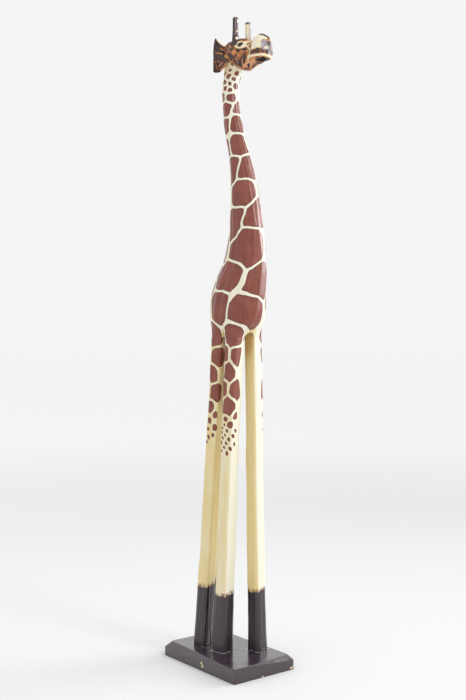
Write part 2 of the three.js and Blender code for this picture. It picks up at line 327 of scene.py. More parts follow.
def grid_piece(name, points, masks, local=True):
    """One closed piece from a grid of points, with rows round it and its two ends capped."""
    rows, columns = points.shape[:2]
    ends = np.stack([points[0].mean(axis=0), points[-1].mean(axis=0)])
    flat = np.concatenate([points.reshape(-1, 3), ends])
    placed = in_model(flat) if local else flat / 1000
    faces = grid_faces(rows, columns).tolist()
    bottom, top, last = rows * columns, rows * columns + 1, (rows - 1) * columns
    for j in range(columns):
        following = (j + 1) % columns
        faces.append((bottom, following, j))
        faces.append((top, last + j, last + following))
    mesh = bpy.data.meshes.new(name)
    mesh.from_pydata(placed.tolist(), [], faces)
    mesh.shade_smooth()
    for mask_name, values in masks.items():
        attribute = mesh.attributes.new(mask_name, "FLOAT", "POINT")
        values = np.broadcast_to(values, (rows, columns))
        closed = np.concatenate([values.reshape(-1), [values[0].mean(), values[-1].mean()]])
        attribute.data.foreach_set("value", closed.astype(np.float32))
    piece = bpy.data.objects.new(name, mesh)
    bpy.context.scene.collection.objects.link(piece)
    return piece


def hand_in(piece, node, material):
    """The piece stands for its node, rides on the one body and takes its finish."""
    piece.data.materials.append(material)
    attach(piece, "root")
    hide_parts(node)


# ---- Materials ----


class Shader:
    """A short way to write a material's nodes."""

    def __init__(self, name):
        self.material = bpy.data.materials.new(name)
        self.material.use_nodes = True
        self.tree = self.material.node_tree
        self.surface = self.tree.nodes["Principled BSDF"]
        self.place = self.node("ShaderNodeTexCoord").outputs["Object"]

    def node(self, kind, **settings):
        made = self.tree.nodes.new(kind)
        for key, value in settings.items():
            setattr(made, key, value)
        return made

    def feed(self, socket, value):
        if isinstance(value, bpy.types.NodeSocket):
            self.tree.links.new(value, socket)
        elif isinstance(value, tuple):
            lacks_alpha = len(value) == 3 and len(socket.default_value) == 4
            socket.default_value = (*value, 1.0) if lacks_alpha else value
        else:
            socket.default_value = value

    def attribute(self, name):
        return self.node("ShaderNodeAttribute", attribute_name=name).outputs["Fac"]

    def math(self, operation, *values):
        made = self.node("ShaderNodeMath", operation=operation)
        for socket, value in zip(made.inputs, values):
            self.feed(socket, value)
        return made.outputs[0]

    def stretched(self, x, y, z):
        mapping = self.node("ShaderNodeMapping")
        self.feed(mapping.inputs["Vector"], self.place)
        self.feed(mapping.inputs["Scale"], (x, y, z))
        return mapping.outputs[0]

    def noise(self, size, detail=3.0, place=None, roughness=0.55):
        """Noise from 0 to 1 whose lumps are about size millimetres."""
        made = self.node("ShaderNodeTexNoise")
        self.feed(made.inputs["Vector"], place or self.place)
        self.feed(made.inputs["Scale"], 1000.0 / size)
        self.feed(made.inputs["Detail"], detail)
        self.feed(made.inputs["Roughness"], roughness)
        return made.outputs["Fac"]

    def jitter(self, spread, *lumps):
        """Noise round 0, spread wide from its lowest to its highest."""
        return self.math("MULTIPLY", self.math("SUBTRACT", self.noise(*lumps), 0.5), spread)

    def step(self, value, low, high):
        """0 below low, 1 above high and smooth between."""
        made = self.node("ShaderNodeMapRange", interpolation_type="SMOOTHSTEP")
        for name, number in (("Value", value), ("From Min", low), ("From Max", high)):
            self.feed(made.inputs[name], number)
        return made.outputs[0]

    def mix(self, share, first, second):
        made = self.node("ShaderNodeMix", data_type="RGBA")
        for socket, value in ((made.inputs[0], share), (made.inputs[6], first), (made.inputs[7], second)):
            self.feed(socket, value)
        return made.outputs[2]

    def bump(self, height, depth, under=None):
        """A bump of depth millimetres."""
        made = self.node("ShaderNodeBump")
        self.feed(made.inputs["Height"], height)
        self.feed(made.inputs["Distance"], depth / 1000.0)
        if under is not None:
            self.feed(made.inputs["Normal"], under)
        return made.outputs[0]

    def finish(self, color, roughness, normal=None, **sockets):
        self.feed(self.surface.inputs["Base Color"], color)
        self.feed(self.surface.inputs["Roughness"], roughness)
        if normal is not None:
            self.feed(self.surface.inputs["Normal"], normal)
        for name, value in sockets.items():
            self.feed(self.surface.inputs[name.replace("_", " ")], value)
        return self.material


def coat_material():
    """Lacquered cream with brown patches, burnt stains and black socks, from the piece's own masks; the
    cream yellows and turns amber under a mask of random stain and painted shade.
    """
    s = Shader("carved_coat")
    patch = s.math("ADD", s.attribute("patch"), s.jitter(0.9, 3.5))
    inside = s.step(patch, -0.3, 0.2)
    rim = s.step(patch, 0.1, 1.6)
    streaks = s.noise(4.0, 4.0, s.stretched(1, 1, 0.12))
    brown = s.mix(s.step(streaks, 0.3, 0.75), (0.175, 0.034, 0.016), (0.235, 0.052, 0.028))
    brown = s.mix(s.step(s.noise(24, 2.0), 0.4, 0.7), brown, (0.25, 0.058, 0.034))
    brown = s.mix(rim, (0.105, 0.012, 0.007), brown)
    # The cream yellows and then turns amber with its mask: a random stain, and painted shade on the shaded
    # sides and up between the legs.
    yellow = s.math("ADD", s.attribute("stain_and_shade"), s.jitter(0.5, 9, 4.0, s.stretched(1, 1, 0.2)))
    cream = s.mix(s.step(yellow, 0.05, 0.75), (0.83, 0.80, 0.64), (0.76, 0.61, 0.29))
    cream = s.mix(s.step(yellow, 0.75, 1.35), cream, (0.50, 0.25, 0.07))
    cream = s.mix(s.step(streaks, 0.62, 0.85), cream, (0.76, 0.69, 0.45))
    color = s.mix(inside, cream, brown)
    ragged = s.noise(3.2, 5.0, s.stretched(1, 1, 0.5))
    sock = s.math("ADD", s.attribute("sock"), s.math("MULTIPLY", s.math("SUBTRACT", ragged, 0.5), 9.0))
    scorched = s.math("MULTIPLY", s.step(sock, -6.5, -0.5), s.step(ragged, 0.3, 0.6))
    color = s.mix(scorched, color, (0.30, 0.13, 0.055))
    black = s.step(sock, -0.4, 0.4)
    color = s.mix(black, color, (0.019, 0.008, 0.014))
    chips = s.math("MULTIPLY", s.step(s.noise(2.6, 5.0), 0.73, 0.76), s.step(sock, 2.0, 6.0))
    color = s.mix(s.math("MULTIPLY", chips, 0.8), color, (0.33, 0.2, 0.1))
    roughness = s.math("ADD", 0.22, s.math("MULTIPLY", s.noise(6, 4.0), 0.22))
    lacquer = s.math("ADD", 0.25, s.math("MULTIPLY", black, 0.35))
    grain = s.bump(s.noise(1.6, 5.0, s.stretched(1, 1, 0.06)), 0.1)
    brush = s.bump(inside, 0.12, grain)
    return s.finish(color, roughness, brush, Coat_Weight=lacquer, Coat_Roughness=0.24)


def black_paint_material():
    """Glossy black over planed wood, chipped to bare wood at the edges, with glue round the feet."""
    s = Shader("board_paint")
    grain = s.noise(2.2, 6.0, s.stretched(0.05, 1, 1))
    chip = s.math("ADD", s.attribute("chip"), s.jitter(0.9, 2.5, 4.0))
    bare = s.step(chip, 0.55, 0.62)
    worn = s.step(chip, 0.35, 0.6)
    color = s.mix(s.step(grain, 0.35, 0.7), (0.024, 0.011, 0.02), (0.042, 0.024, 0.037))
    color = s.mix(worn, color, (0.09, 0.05, 0.03))
    color = s.mix(bare, color, (0.72, 0.55, 0.38))
    glue = s.step(s.math("ADD", s.attribute("glue"), s.noise(2.6, 3.0)), 1.2, 1.3)
    color = s.mix(s.math("MULTIPLY", glue, 0.85), color, (0.68, 0.65, 0.72))
    roughness = s.math("ADD", 0.2, s.math("MULTIPLY", s.noise(18, 5.0), 0.18))
    normal = s.bump(grain, 0.16, s.bump(glue, 0.5))
    return s.finish(color, roughness, normal, Coat_Weight=0.9, Coat_Roughness=0.12)


def burnt_material():
    """Scorched, lacquered wood: orange to dark strokes, with cream, dark and mauve areas from masks."""
    s = Shader("burnt_wood")
    strokes = s.noise(5.0, 6.0, s.stretched(1, 1, 0.5), 0.65)
    color = s.mix(s.step(strokes, 0.3, 0.5), (0.66, 0.28, 0.07), (0.40, 0.12, 0.035))
    color = s.mix(s.step(s.noise(6.0, 3.0), 0.54, 0.68), color, (0.78, 0.40, 0.12))
    color = s.mix(s.step(strokes, 0.49, 0.56), color, (0.055, 0.02, 0.016))
    pale = s.mix(s.step(s.noise(4.0, 4.0), 0.4, 0.62), (0.90, 0.47, 0.22), (0.58, 0.26, 0.12))
    color = s.mix(s.attribute("bare"), color, pale)
    ragged = s.jitter(0.8, 2.5, 5.0)
    soft_cream = s.math("ADD", s.attribute("cream"), s.math("MULTIPLY", ragged, 0.3))
    mauve = s.step(s.math("ADD", s.attribute("mauve"), ragged), 0.3, 0.7)
    cream = s.step(soft_cream, 0.4, 0.6)
    dark = s.step(s.math("ADD", s.attribute("dark"), ragged), 0.4, 0.6)
    glow = s.step(s.math("ADD", s.attribute("cream"), s.math("MULTIPLY", ragged, 0.5)), 0.08, 0.4)
    color = s.mix(dark, color, (0.045, 0.022, 0.022))
    color = s.mix(s.math("MULTIPLY", glow, 0.8), color, (0.78, 0.46, 0.11))
    aged = s.mix(s.step(s.noise(5.0, 4.0), 0.45, 0.7), (0.86, 0.81, 0.64), (0.83, 0.68, 0.33))
    color = s.mix(cream, color, aged)
    greys = s.mix(s.step(s.noise(3.0), 0.35, 0.65), (0.20, 0.14, 0.16), (0.46, 0.38, 0.42))
    color = s.mix(mauve, color, greys)
    color = s.mix(s.step(s.attribute("black"), 0.4, 0.6), color, (0.008, 0.007, 0.008))
    roughness = s.math("ADD", 0.22, s.math("MULTIPLY", s.noise(5, 4.0), 0.24))
    normal = s.bump(strokes, 0.5, s.bump(s.noise(1.2, 4.0), 0.08))
    return s.finish(color, roughness, normal, Coat_Weight=0.15, Coat_Roughness=0.15)


def dowel_material():
    s = Shader("dowel_wood")
    rings = s.noise(1.2, 5.0, s.stretched(1, 1, 0.08))
    color = s.mix(rings, (0.5, 0.31, 0.14), (0.72, 0.52, 0.28))
    return s.finish(color, s.math("ADD", 0.5, s.math("MULTIPLY", rings, 0.2)), s.bump(rings, 0.1))


def steel_material():
    s = Shader("screw_steel")
    wear = s.noise(1.5, 5.0)
    color = s.mix(wear, (0.42, 0.42, 0.43), (0.66, 0.66, 0.67))
    roughness = s.math("ADD", 0.25, s.math("MULTIPLY", wear, 0.25))
    return s.finish(color, roughness, s.bump(wear, 0.05), Metallic=1.0)


# ---- Torso and neck ----


# Arches between the legs: angle of the middle, half the angle across and height.
ARCHES = ((0.5, 21, 13), (88, 15, 10), (180, 16, 12), (-98, 9, 7))


def arch_height(angle):
    """How far above the legs' tops the torso ends, between the legs."""
    rise = np.zeros(angle.shape)
    for middle, half, height in ARCHES:
        share = ((np.degrees(angle) - middle + 180) % 360 - 180) / half
        rise = np.maximum(rise, height * np.sqrt(np.clip(1 - share**2, 0, 1)))
    return rise


def leg_tops_radius(angle):
    """How far the four leg tops reach from the torso's middle, straight across the gaps between them."""
    reach = np.arange(15, 48, 0.1)
    x = reach[:, None] * np.cos(angle)[None, :] + TORSO_SECTIONS[0][1]
    y = reach[:, None] * np.sin(angle)[None, :]
    inside = np.zeros(x.shape, bool)
    for _, top, girth in LEGS.values():
        half = LEG_SECTIONS[-1][1] * girth
        along = (np.abs(x - top[0]) / half) ** LEG_SQUARENESS
        across = (np.abs(y - top[1]) / half) ** LEG_SQUARENESS
        inside |= along + across <= 1
    radius = np.where(inside, reach[:, None], 0).max(axis=0)
    found = radius > 0
    return np.interp(angle, angle[found], radius[found], period=2 * math.pi)


def leg_middle(place, height):
    """Middle of a leg at a height, carried straight on into the torso."""
    foot, top, _ = LEGS[place]
    share = (height - BOARD_TOP) / (LEG_TOP - BOARD_TOP)
    return foot[0] + (top[0] - foot[0]) * share, foot[1] + (top[1] - foot[1]) * share


def leg_top_distances(points):
    """Distances from the legs' highest patches; each leg's patches keep to its own part of the torso."""
    away, turn = {}, {}
    for place in LEGS:
        middle_x, middle_y = leg_middle(place, points[..., 2])
        x, y = points[..., 0] - middle_x, points[..., 1] - middle_y
        away[place], turn[place] = np.hypot(x, y), np.arctan2(y, x)
    found = []
    for place in LEGS:
        others = np.minimum.reduce([away[other] for other in LEGS if other != place])
        for patch in leg_patches(place):
            if patch[0] + patch[3] / 2 > LEG_TOP - 10:
                distance = patch_distance(turn[place], points[..., 2], LEG_RADIUS, patch)
                found.append(np.maximum(distance, (away[place] - others) / 2))
    return found


def make_torso(material):
    columns = 252
    angle = np.linspace(-math.pi, math.pi, columns, endpoint=False)[None, :]
    level = np.concatenate([np.linspace(0, 29, 30), np.linspace(30.5, 436, 310)])[:, None]
    foot = LEG_TOP + arch_height(angle)
    height = LEG_TOP + level + (foot - LEG_TOP) * (1 - smoothstep(level, 0, 30))
    middle = curve(height, TORSO_SECTIONS, 1)
    sizes = [curve(height, TORSO_SECTIONS, column) for column in (2, 3, 4)]
    radius = superellipse_radius(angle, *sizes)
    shoulder = smoothstep(height, LEG_TOP, LEG_TOP + 30)
    legs_radius = np.minimum(leg_tops_radius(angle[0])[None, :], radius)
    radius = legs_radius + (radius - legs_radius) * shoulder - 0.5 * (1 - smoothstep(level, 0, 4))
    turn = (angle + math.pi) / (2 * math.pi)
    big = knife_cuts(turn + 0.02 * np.sin(height / 60), height, 17, 75, 11)
    fine = knife_cuts(turn + height / 2400, height, 33, 22, 23)
    depth = np.clip(2 * math.pi * radius / 17 * 0.11, 0.3, 1.2) * smoothstep(level, 0, 12)
    radius = radius - 0.35 + depth * big * 0.8 + 0.1 * fine
    # The first row is the top of a hollow inside the lower edge, where the legs come in.
    radius = np.concatenate([radius[:1] - 3, radius])
    height = np.concatenate([np.full((1, columns), LEG_TOP + 14), height])
    middle = np.concatenate([middle[:1], middle])
    points = np.stack([middle + radius * np.cos(angle), radius * np.sin(angle), height], axis=-1)

    moved = shaken(points)
    moved_angle = np.arctan2(moved[..., 1], moved[..., 0] - middle)
    patches = NECK_DOTS + BODY_PATCHES
    patches = patches + half_turn(NECK_DOTS, 3) + half_turn(BODY_PATCHES, -4) + FILLER_PATCHES
    distances = [patch_distance(moved_angle, moved[..., 2], radius, patch) for patch in patches]
    patch = patch_depth(distances + leg_top_distances(moved))
    patch[:2] = np.minimum(patch[:2], [[-6], [6]])
    # Painted shade: the cream yellows on the right side and the back, away from the key lamp, and turns
    # amber up under the arches between the legs.
    crotch_shade = np.zeros(height.shape)
    for place, half, _ in ARCHES:
        away = np.abs((np.degrees(angle) - place + 180) % 360 - 180)
        crotch_shade = np.maximum(crotch_shade, 1 - smoothstep(away, 0.3 * half, 1.3 * half))
    crotch_shade = crotch_shade * (1 - smoothstep(height - foot, 2, 14))
    shaded_right_side = 0.5 - 0.5 * np.cos(np.clip(angle + 0.6, -math.pi, 0))
    # Yellower just under the head, on the right side and the front.
    throat = smoothstep(height, 902, 922) * smoothstep(-np.sin(angle), -0.2, 0.5)
    stain_and_shade = 0.3 * shaded_right_side + 0.9 * crotch_shade + 0.42 * throat + 0.2 * noise(points / (1, 1, 3), 12, 8)
    masks = {"patch": patch, "stain_and_shade": stain_and_shade, "sock": -50.0}
    piece = grid_piece("carved_torso_and_neck", points, masks)
    hand_in(piece, "torso_and_neck", material)


# ---- Legs ----


def make_leg(place, seed, material):
    top, girth = LEGS[place][1:]
    columns, rows = 112, 300
    angle = np.linspace(-math.pi, math.pi, columns, endpoint=False)[None, :]
    height = np.linspace(BOARD_TOP - 0.2, LEG_TOP + 17, rows)[:, None]
    # Inside the torso the leg's outer faces draw in, and its inner faces run straight on.
    drawn_in = 3 * smoothstep(height, LEG_TOP + 6, LEG_TOP + 14)
    half = girth * curve(height, LEG_SECTIONS, 1) - drawn_in
    radius = superellipse_radius(angle, half, half, LEG_SQUARENESS)
    turn = (angle + math.pi) / (2 * math.pi)
    # A slightly uneven flat on each of the four arrises.
    quarter = np.floor(turn * 4) * 50
    wander = noise(np.stack(np.broadcast_arrays(quarter, height, seed * 10.0), axis=-1), 45, seed)
    corner = np.abs(np.sin(2 * angle)) ** 12 * (0.7 + 0.5 * wander)
    cuts = knife_cuts(turn, height, 16, 42, seed * 7 + 1)
    radius = radius - corner + 0.3 * cuts - 0.15
    sway = 0.9 * np.sin(height / 90 + seed)
    middle_x, middle_y = leg_middle(place, height)
    inwards = np.sign(TORSO_SECTIONS[0][1] - top[0]), np.sign(-top[1])
    x = middle_x + drawn_in * inwards[0] + radius * np.cos(angle) + sway * 0.5
    y = middle_y + drawn_in * inwards[1] + radius * np.sin(angle) + sway * 0.4 * np.cos(height / 70)
    points = np.stack(np.broadcast_arrays(x, y, height), axis=-1)

    moved = shaken(points)
    moved_angle = np.arctan2(moved[..., 1] - middle_y, moved[..., 0] - middle_x)
    patch = patch_depth([patch_distance(moved_angle, moved[..., 2], LEG_RADIUS, shape)
                         for shape in leg_patches(place)])
    sock = SOCKS[place] - height + 2.5 * np.sin(angle)
    # Painted shade: the cream yellows on each leg's right face, more on the front left leg's right face and
    # most under its arch, and on the hind legs' front faces, which the front legs shade.
    shaded_right_face = smoothstep(-np.sin(angle), 0.55, 0.8)
    shaded_front_face = smoothstep(np.cos(angle), 0.6, 0.8)
    flute_shade = smoothstep(height, LEG_TOP - 75, LEG_TOP) * shaded_right_face * (place == "front_left")
    stain_and_shade = 0.45 * shaded_right_face + 0.3 * flute_shade + 0.2 * noise(points / (1, 1, 5), 9, seed)
    stain_and_shade = stain_and_shade + 0.3 * shaded_right_face * (place == "front_left")
    stain_and_shade = stain_and_shade + (0.15 + 0.5 * shaded_front_face) * place.startswith("hind")
    piece = grid_piece(f"carved_leg_{place}", points, {"patch": patch, "stain_and_shade": stain_and_shade, "sock": sock})
    hand_in(piece, f"leg_{place}", material)


# ---- Head ----


def near_point(points, place, size):
    """1 at a place on both sides of the head, falling to 0 about size away from it."""
    folded = np.stack([points[..., 0], np.abs(points[..., 1]), points[..., 2]], axis=-1)
    distance = np.linalg.norm((folded - np.array(place)) / np.array(size), axis=-1)
    return np.clip(1 - distance, -1, 1)


def near_line(points, line):
    """Distance to a line of points on the side of the head, both sides alike, and the share along it."""
    p = np.stack([points[..., 0], points[..., 2]], axis=-1)
    best = np.full(p.shape[:-1], 1e3)
    along = np.zeros(p.shape[:-1])
    steps = len(line) - 1
    for k, (a, b) in enumerate(zip(line[:-1], line[1:])):
        a, b = np.array(a, float), np.array(b, float)
        t = np.clip(((p - a) @ (b - a)) / ((b - a) @ (b - a)), 0, 1)
        distance = np.linalg.norm(p - a - t[..., None] * (b - a), axis=-1)
        along = np.where(distance < best, (k + t) / steps, along)
        best = np.minimum(best, distance)
    return best, along


# Lines on the side of the head, each from back to front: distance forward and height.
BROW = ((24, 957), (32, 962.5), (38, 965.5), (46, 966), (54, 963.5))
EYE_TOP = ((36, 956), (39.5, 960), (44, 961.8), (50, 963), (55, 966))
EYE_UNDER = ((36, 955.5), (38.5, 951.5), (43, 949.8), (47, 953), (50, 958), (55, 963))
TEAR = ((48.5, 956.5), (51.5, 951.5), (55.5, 955), (56.5, 960))
MOUTH = ((52, 930.5), (63, 929.6), (74, 928), (88, 927.5))
LIP = ((54, 935), (64, 934.8), (76, 934), (88, 933.5))
CHEEK_CURVE = ((53.5, 950), (57.5, 946), (58.5, 941), (55, 936.5), (53.5, 931))
# Burnt strokes on the cheek, jaw and nape.
STROKES = (
    ((20, 962), (30, 966)), ((14, 955), (22, 959), (31, 961)), ((24, 950), (33, 947.5)),
    ((44, 948), (52, 947)), ((38, 946), (45, 944)), ((30, 941), (33, 933), (31, 927)),
    ((37, 941), (39, 934)), ((50, 941), (49, 932), (45, 925)), ((46, 935), (41, 927), (39, 922)),
    ((26, 944), (23, 936)), ((53, 925), (49, 920)), ((19, 951), (16, 943)), ((34, 931), (37, 924)),
    ((60, 940), (74, 939.5)), ((62, 945), (60, 955), (62, 962)), ((24, 933), (28, 937), (27, 943)),
)


def strongest(*masks):
    return np.maximum.reduce(np.broadcast_arrays(*masks))


def make_head(material):
    columns, rows = 230, 250
    angle = np.linspace(-math.pi, math.pi, columns, endpoint=False)[None, :]
    first, last = HEAD_SECTIONS[0][0], HEAD_SECTIONS[-1][0]
    spread = (1 - np.cos(np.linspace(0, math.pi, rows))) / 2
    spread = 0.5 * spread + 0.5 * np.linspace(0, 1, rows)
    # Six more rows at each end close the flat tips.
    x = first + (last - first) * np.pad(spread, 6, mode="edge")[:, None]
    closing = np.interp(np.arange(rows + 12), (0, 6, rows + 5, rows + 11), (0.1, 1, 1, 0.1))[:, None]
    top, bottom, half = (curve(x, HEAD_SECTIONS, column) for column in (1, 2, 3))
    middle, rise = (top + bottom) / 2, (top - bottom) / 2
    radius = closing * superellipse_radius(angle, half, rise, HEAD_SQUARENESS)
    y, z = radius * np.cos(angle), middle + radius * np.sin(angle)
    # The lower jaw is set in under the muzzle and the brow is narrower than the cheeks.
    low = smoothstep(931.5 - z, 0, 3.5 + 12 * (1 - smoothstep(x, 48, 62)))
    y = y * (1 - low * (0.26 * smoothstep(x, 24, 46) + 0.30 * smoothstep(x, 52, 66)))
    y = y * (1 - 0.25 * smoothstep(z - middle, 8, 24) * smoothstep(x, 34, 50) * (1 - smoothstep(x, 54, 62)))
    lean = 2.6 * smoothstep(x, 68, 87) * smoothstep(950 - z, 0, 20)
    points = np.stack(np.broadcast_arrays(x - lean, y, z), axis=-1)
    side = smoothstep(np.abs(points[..., 1]), 2, 7)

    mouth, mouth_along = near_line(points, MOUTH)
    lip, _ = near_line(points, LIP)
    eye_top, _ = near_line(points, EYE_TOP)
    eye_under, _ = near_line(points, EYE_UNDER)
    tear, _ = near_line(points, TEAR)
    brow, _ = near_line(points, BROW)
    cheek, _ = near_line(points, CHEEK_CURVE)
    eyeball = near_point(points, (43.5, 17.5, 955.5), (7, 9, 5))
    nostril = near_point(points, (84, 9.5, 949.5), (6.5, 8.5, 10.5))
    front = smoothstep(x, 56, 60)
    moved = shaken(points, 3, 1.1)
    strokes = np.zeros(points.shape[:2])
    for line in STROKES:
        distance, along = near_line(moved, line)
        width = 0.6 + 1.5 * np.sin(math.pi * np.clip(along * 0.9 + 0.1, 0, 1))
        strokes = np.maximum(strokes, 1 - smoothstep(distance, 0.6 * width, 1.15 * width))
    strokes = strokes * side

    # Carved relief, outwards along the surface.
    slit = 0.9 + 1.6 * smoothstep(mouth_along, 0.45, 0.9)
    relief = -3.0 * bell(mouth, slit) * smoothstep(x, 50, 56)
    relief = relief + 0.9 * bell(lip, 1.5) * smoothstep(x, 52, 57)
    relief = relief + 1.1 * bell(brow, 1.6) * side
    relief = relief - 0.8 * bell(eye_top, 0.8) * side
    relief = relief - 0.9 * bell(eye_under, 0.9) * side
    relief = relief + 1.2 * np.clip(eyeball, 0, 1) * side
    relief = relief - 3.0 * smoothstep(nostril, 0, 0.6)
    relief = relief - 0.8 * bell(cheek, 1.1) * side - 0.7 * strokes
    turn = (angle + math.pi) / (2 * math.pi)
    away_from_ends = smoothstep(x, 4, 10) * (1 - smoothstep(x, 78, 86))
    relief = relief + (0.3 * knife_cuts(turn, x, 24, 12, 41) - 0.1) * away_from_ends
    points = points + grid_normals(points) * relief[..., None]

    # Painted areas.
    height = points[..., 2]
    edge = 0.7 * noise(points, 2.5, 55)
    muzzle = front * smoothstep(height + edge, 943, 945) * side
    under_crown = height + 0.3 * np.maximum(x - 66, 0) + 0.9 * np.maximum(66 - x, 0) + edge
    muzzle = muzzle * (1 - smoothstep(under_crown, 966, 968))
    muzzle = muzzle * smoothstep(x + edge, 60, 62) * (1 - smoothstep(x, 83.5, 86))
    eye_white = smoothstep(near_point(points, (43.2, 17.5, 955.2), (9.6, 13, 7.2)), -0.15, 0.4) * side
    inner_eye = bell(near_line(points, ((47, 958.5), (51, 961), (55, 965)))[0], 2.2) * side
    tear_line = bell(tear, 1.0) * side
    lip_band = bell(lip, 1.6) * smoothstep(x, 52, 54)
    cheek_band = bell(cheek, 1.0) * side
    # A cream crescent under each nostril: a painted highlight.
    nostril_highlight = smoothstep(near_point(points, (86, 8.5, 945.5), (4, 6, 4)), 0.0, 0.3)
    cream = strongest(muzzle, eye_white, inner_eye, tear_line, lip_band, cheek_band, nostril_highlight)
    iris = smoothstep(near_point(points, (42.3, 17, 954.6), (4.3, 8, 4.1)), -0.3, 0.4) * side
    pupil = smoothstep(near_point(points, (43.6, 17, 956), (3.5, 8, 3.5)), -0.3, 0.4) * side
    cream = cream * (1 - iris)
    lid = bell(brow, 1.7, 4) * side
    # The slit under the muzzle is painted dark and partly black: painted shade in the mouth's gap.
    mouth_shade = bell(mouth, 0.6 + slit, 4) * smoothstep(x, 60, 68)
    band = front * smoothstep(height, 936.5, 937.5) * (1 - smoothstep(height, 942, 943.5))
    crown = smoothstep(height + 0.3 * np.maximum(x - 66, 0), 965.5, 967.5)
    nape = 1 - smoothstep(x, 8, 22)
    tip = smoothstep(x, 84.5, 86.5) * smoothstep(height, 935, 938)
    jaw_patch = smoothstep(near_point(points, (50, 11, 919), (7, 12, 4)), 0, 0.5)
    bare_jaw = smoothstep(near_point(points, (58, 9, 926), (20, 13, 8)), 0, 0.35) * side
    rim = bell(x - 59, 1.7) * smoothstep(height, 944, 948)
    dark = strongest(lid, mouth_shade, 0.55 * band, 0.9 * crown, 0.6 * nape,
                     0.85 * tip, 0.65 * jaw_patch, 0.8 * rim, strokes)
    dark = dark * (1 - 0.8 * muzzle) * (1 - lip_band) * (1 - eye_white) * (1 - inner_eye) * (1 - tear_line)
    masks = {
        "cream": cream,
        "dark": dark,
        "mauve": smoothstep(nostril, 0.0, 0.3) * (1 - nostril_highlight),
        "black": np.maximum(pupil, 0.75 * mouth_shade * smoothstep(x, 66, 74)),
        "bare": bare_jaw,
    }
    piece = grid_piece("carved_head", points, masks)
    hand_in(piece, "head", material)


# ---- Horns ----

# Height and radius.
HORN_PROFILE = (
    (950, 5.2), (957, 5.6), (964, 5.5), (969, 5.0), (975, 4.5),
    (986, 4.3), (996, 4.4), (998.6, 4.1), (999.7, 2.6),
)
# Pale specks, laid out as the painted patches are.
HORN_SPECKS = (
    (993, -135, 2.4, 4, 0, 0), (979, -128, 2.6, 2.6, 0, 0), (977, -18, 2.2, 2.4, 0, 0),
    (993, 0, 2.4, 5, 0, 0), (966, -24, 4, 4, 0, 0),
)
# How pale each horn's inner face is, and the angle and width of its grey band of painted light: a painted
# highlight down the right horn and painted shade on the left horn's right part.
HORN_PAINT = {"right": (0.0, math.radians(-48), 0.28), "left": (0.62, math.radians(-14), 0.45)}


def make_horn(place, side, material):
    columns, rows = 64, 96
    angle = np.linspace(-math.pi, math.pi, columns, endpoint=False)[None, :]
    height = np.linspace(HORN_PROFILE[0][0], HORN_PROFILE[-1][0], rows)[:, None]
    radius = curve(height, HORN_PROFILE, 1)
    cuts = knife_cuts((angle + math.pi) / (2 * math.pi), height, 7, 30, 61 + side)
    radius = radius - 0.2 + 0.3 * cuts
    x = HORN["x"] + radius * np.cos(angle)
    y = side * HORN["y"] + radius * np.sin(angle)
    points = np.stack(np.broadcast_arrays(x, y, height), axis=-1)
    inner = smoothstep(-side * np.sin(angle) - 0.25 * np.cos(angle), 0.1, 0.4)
    inner = inner * (1 - smoothstep(height, 994, 998))
    paleness, middle, width = HORN_PAINT[place]
    distances = [patch_distance(angle, height, 4.4, speck) for speck in HORN_SPECKS]
    specks = smoothstep(patch_depth(distances), -0.3, 0.3)
    # A grey band of painted light down each horn.
    light_band = bell(angle - middle, width) * smoothstep(height, 966, 972)
    cream = np.maximum(paleness * inner, specks)
    masks = {"cream": cream, "dark": 0.9 * (1 - inner), "mauve": 0.7 * light_band, "black": 0.0}
    piece = grid_piece(f"carved_horn_{place}", points, masks)
    hand_in(piece, f"horn_{place}", material)


# ---- Ears ----

EAR_SWEEP = 55.0


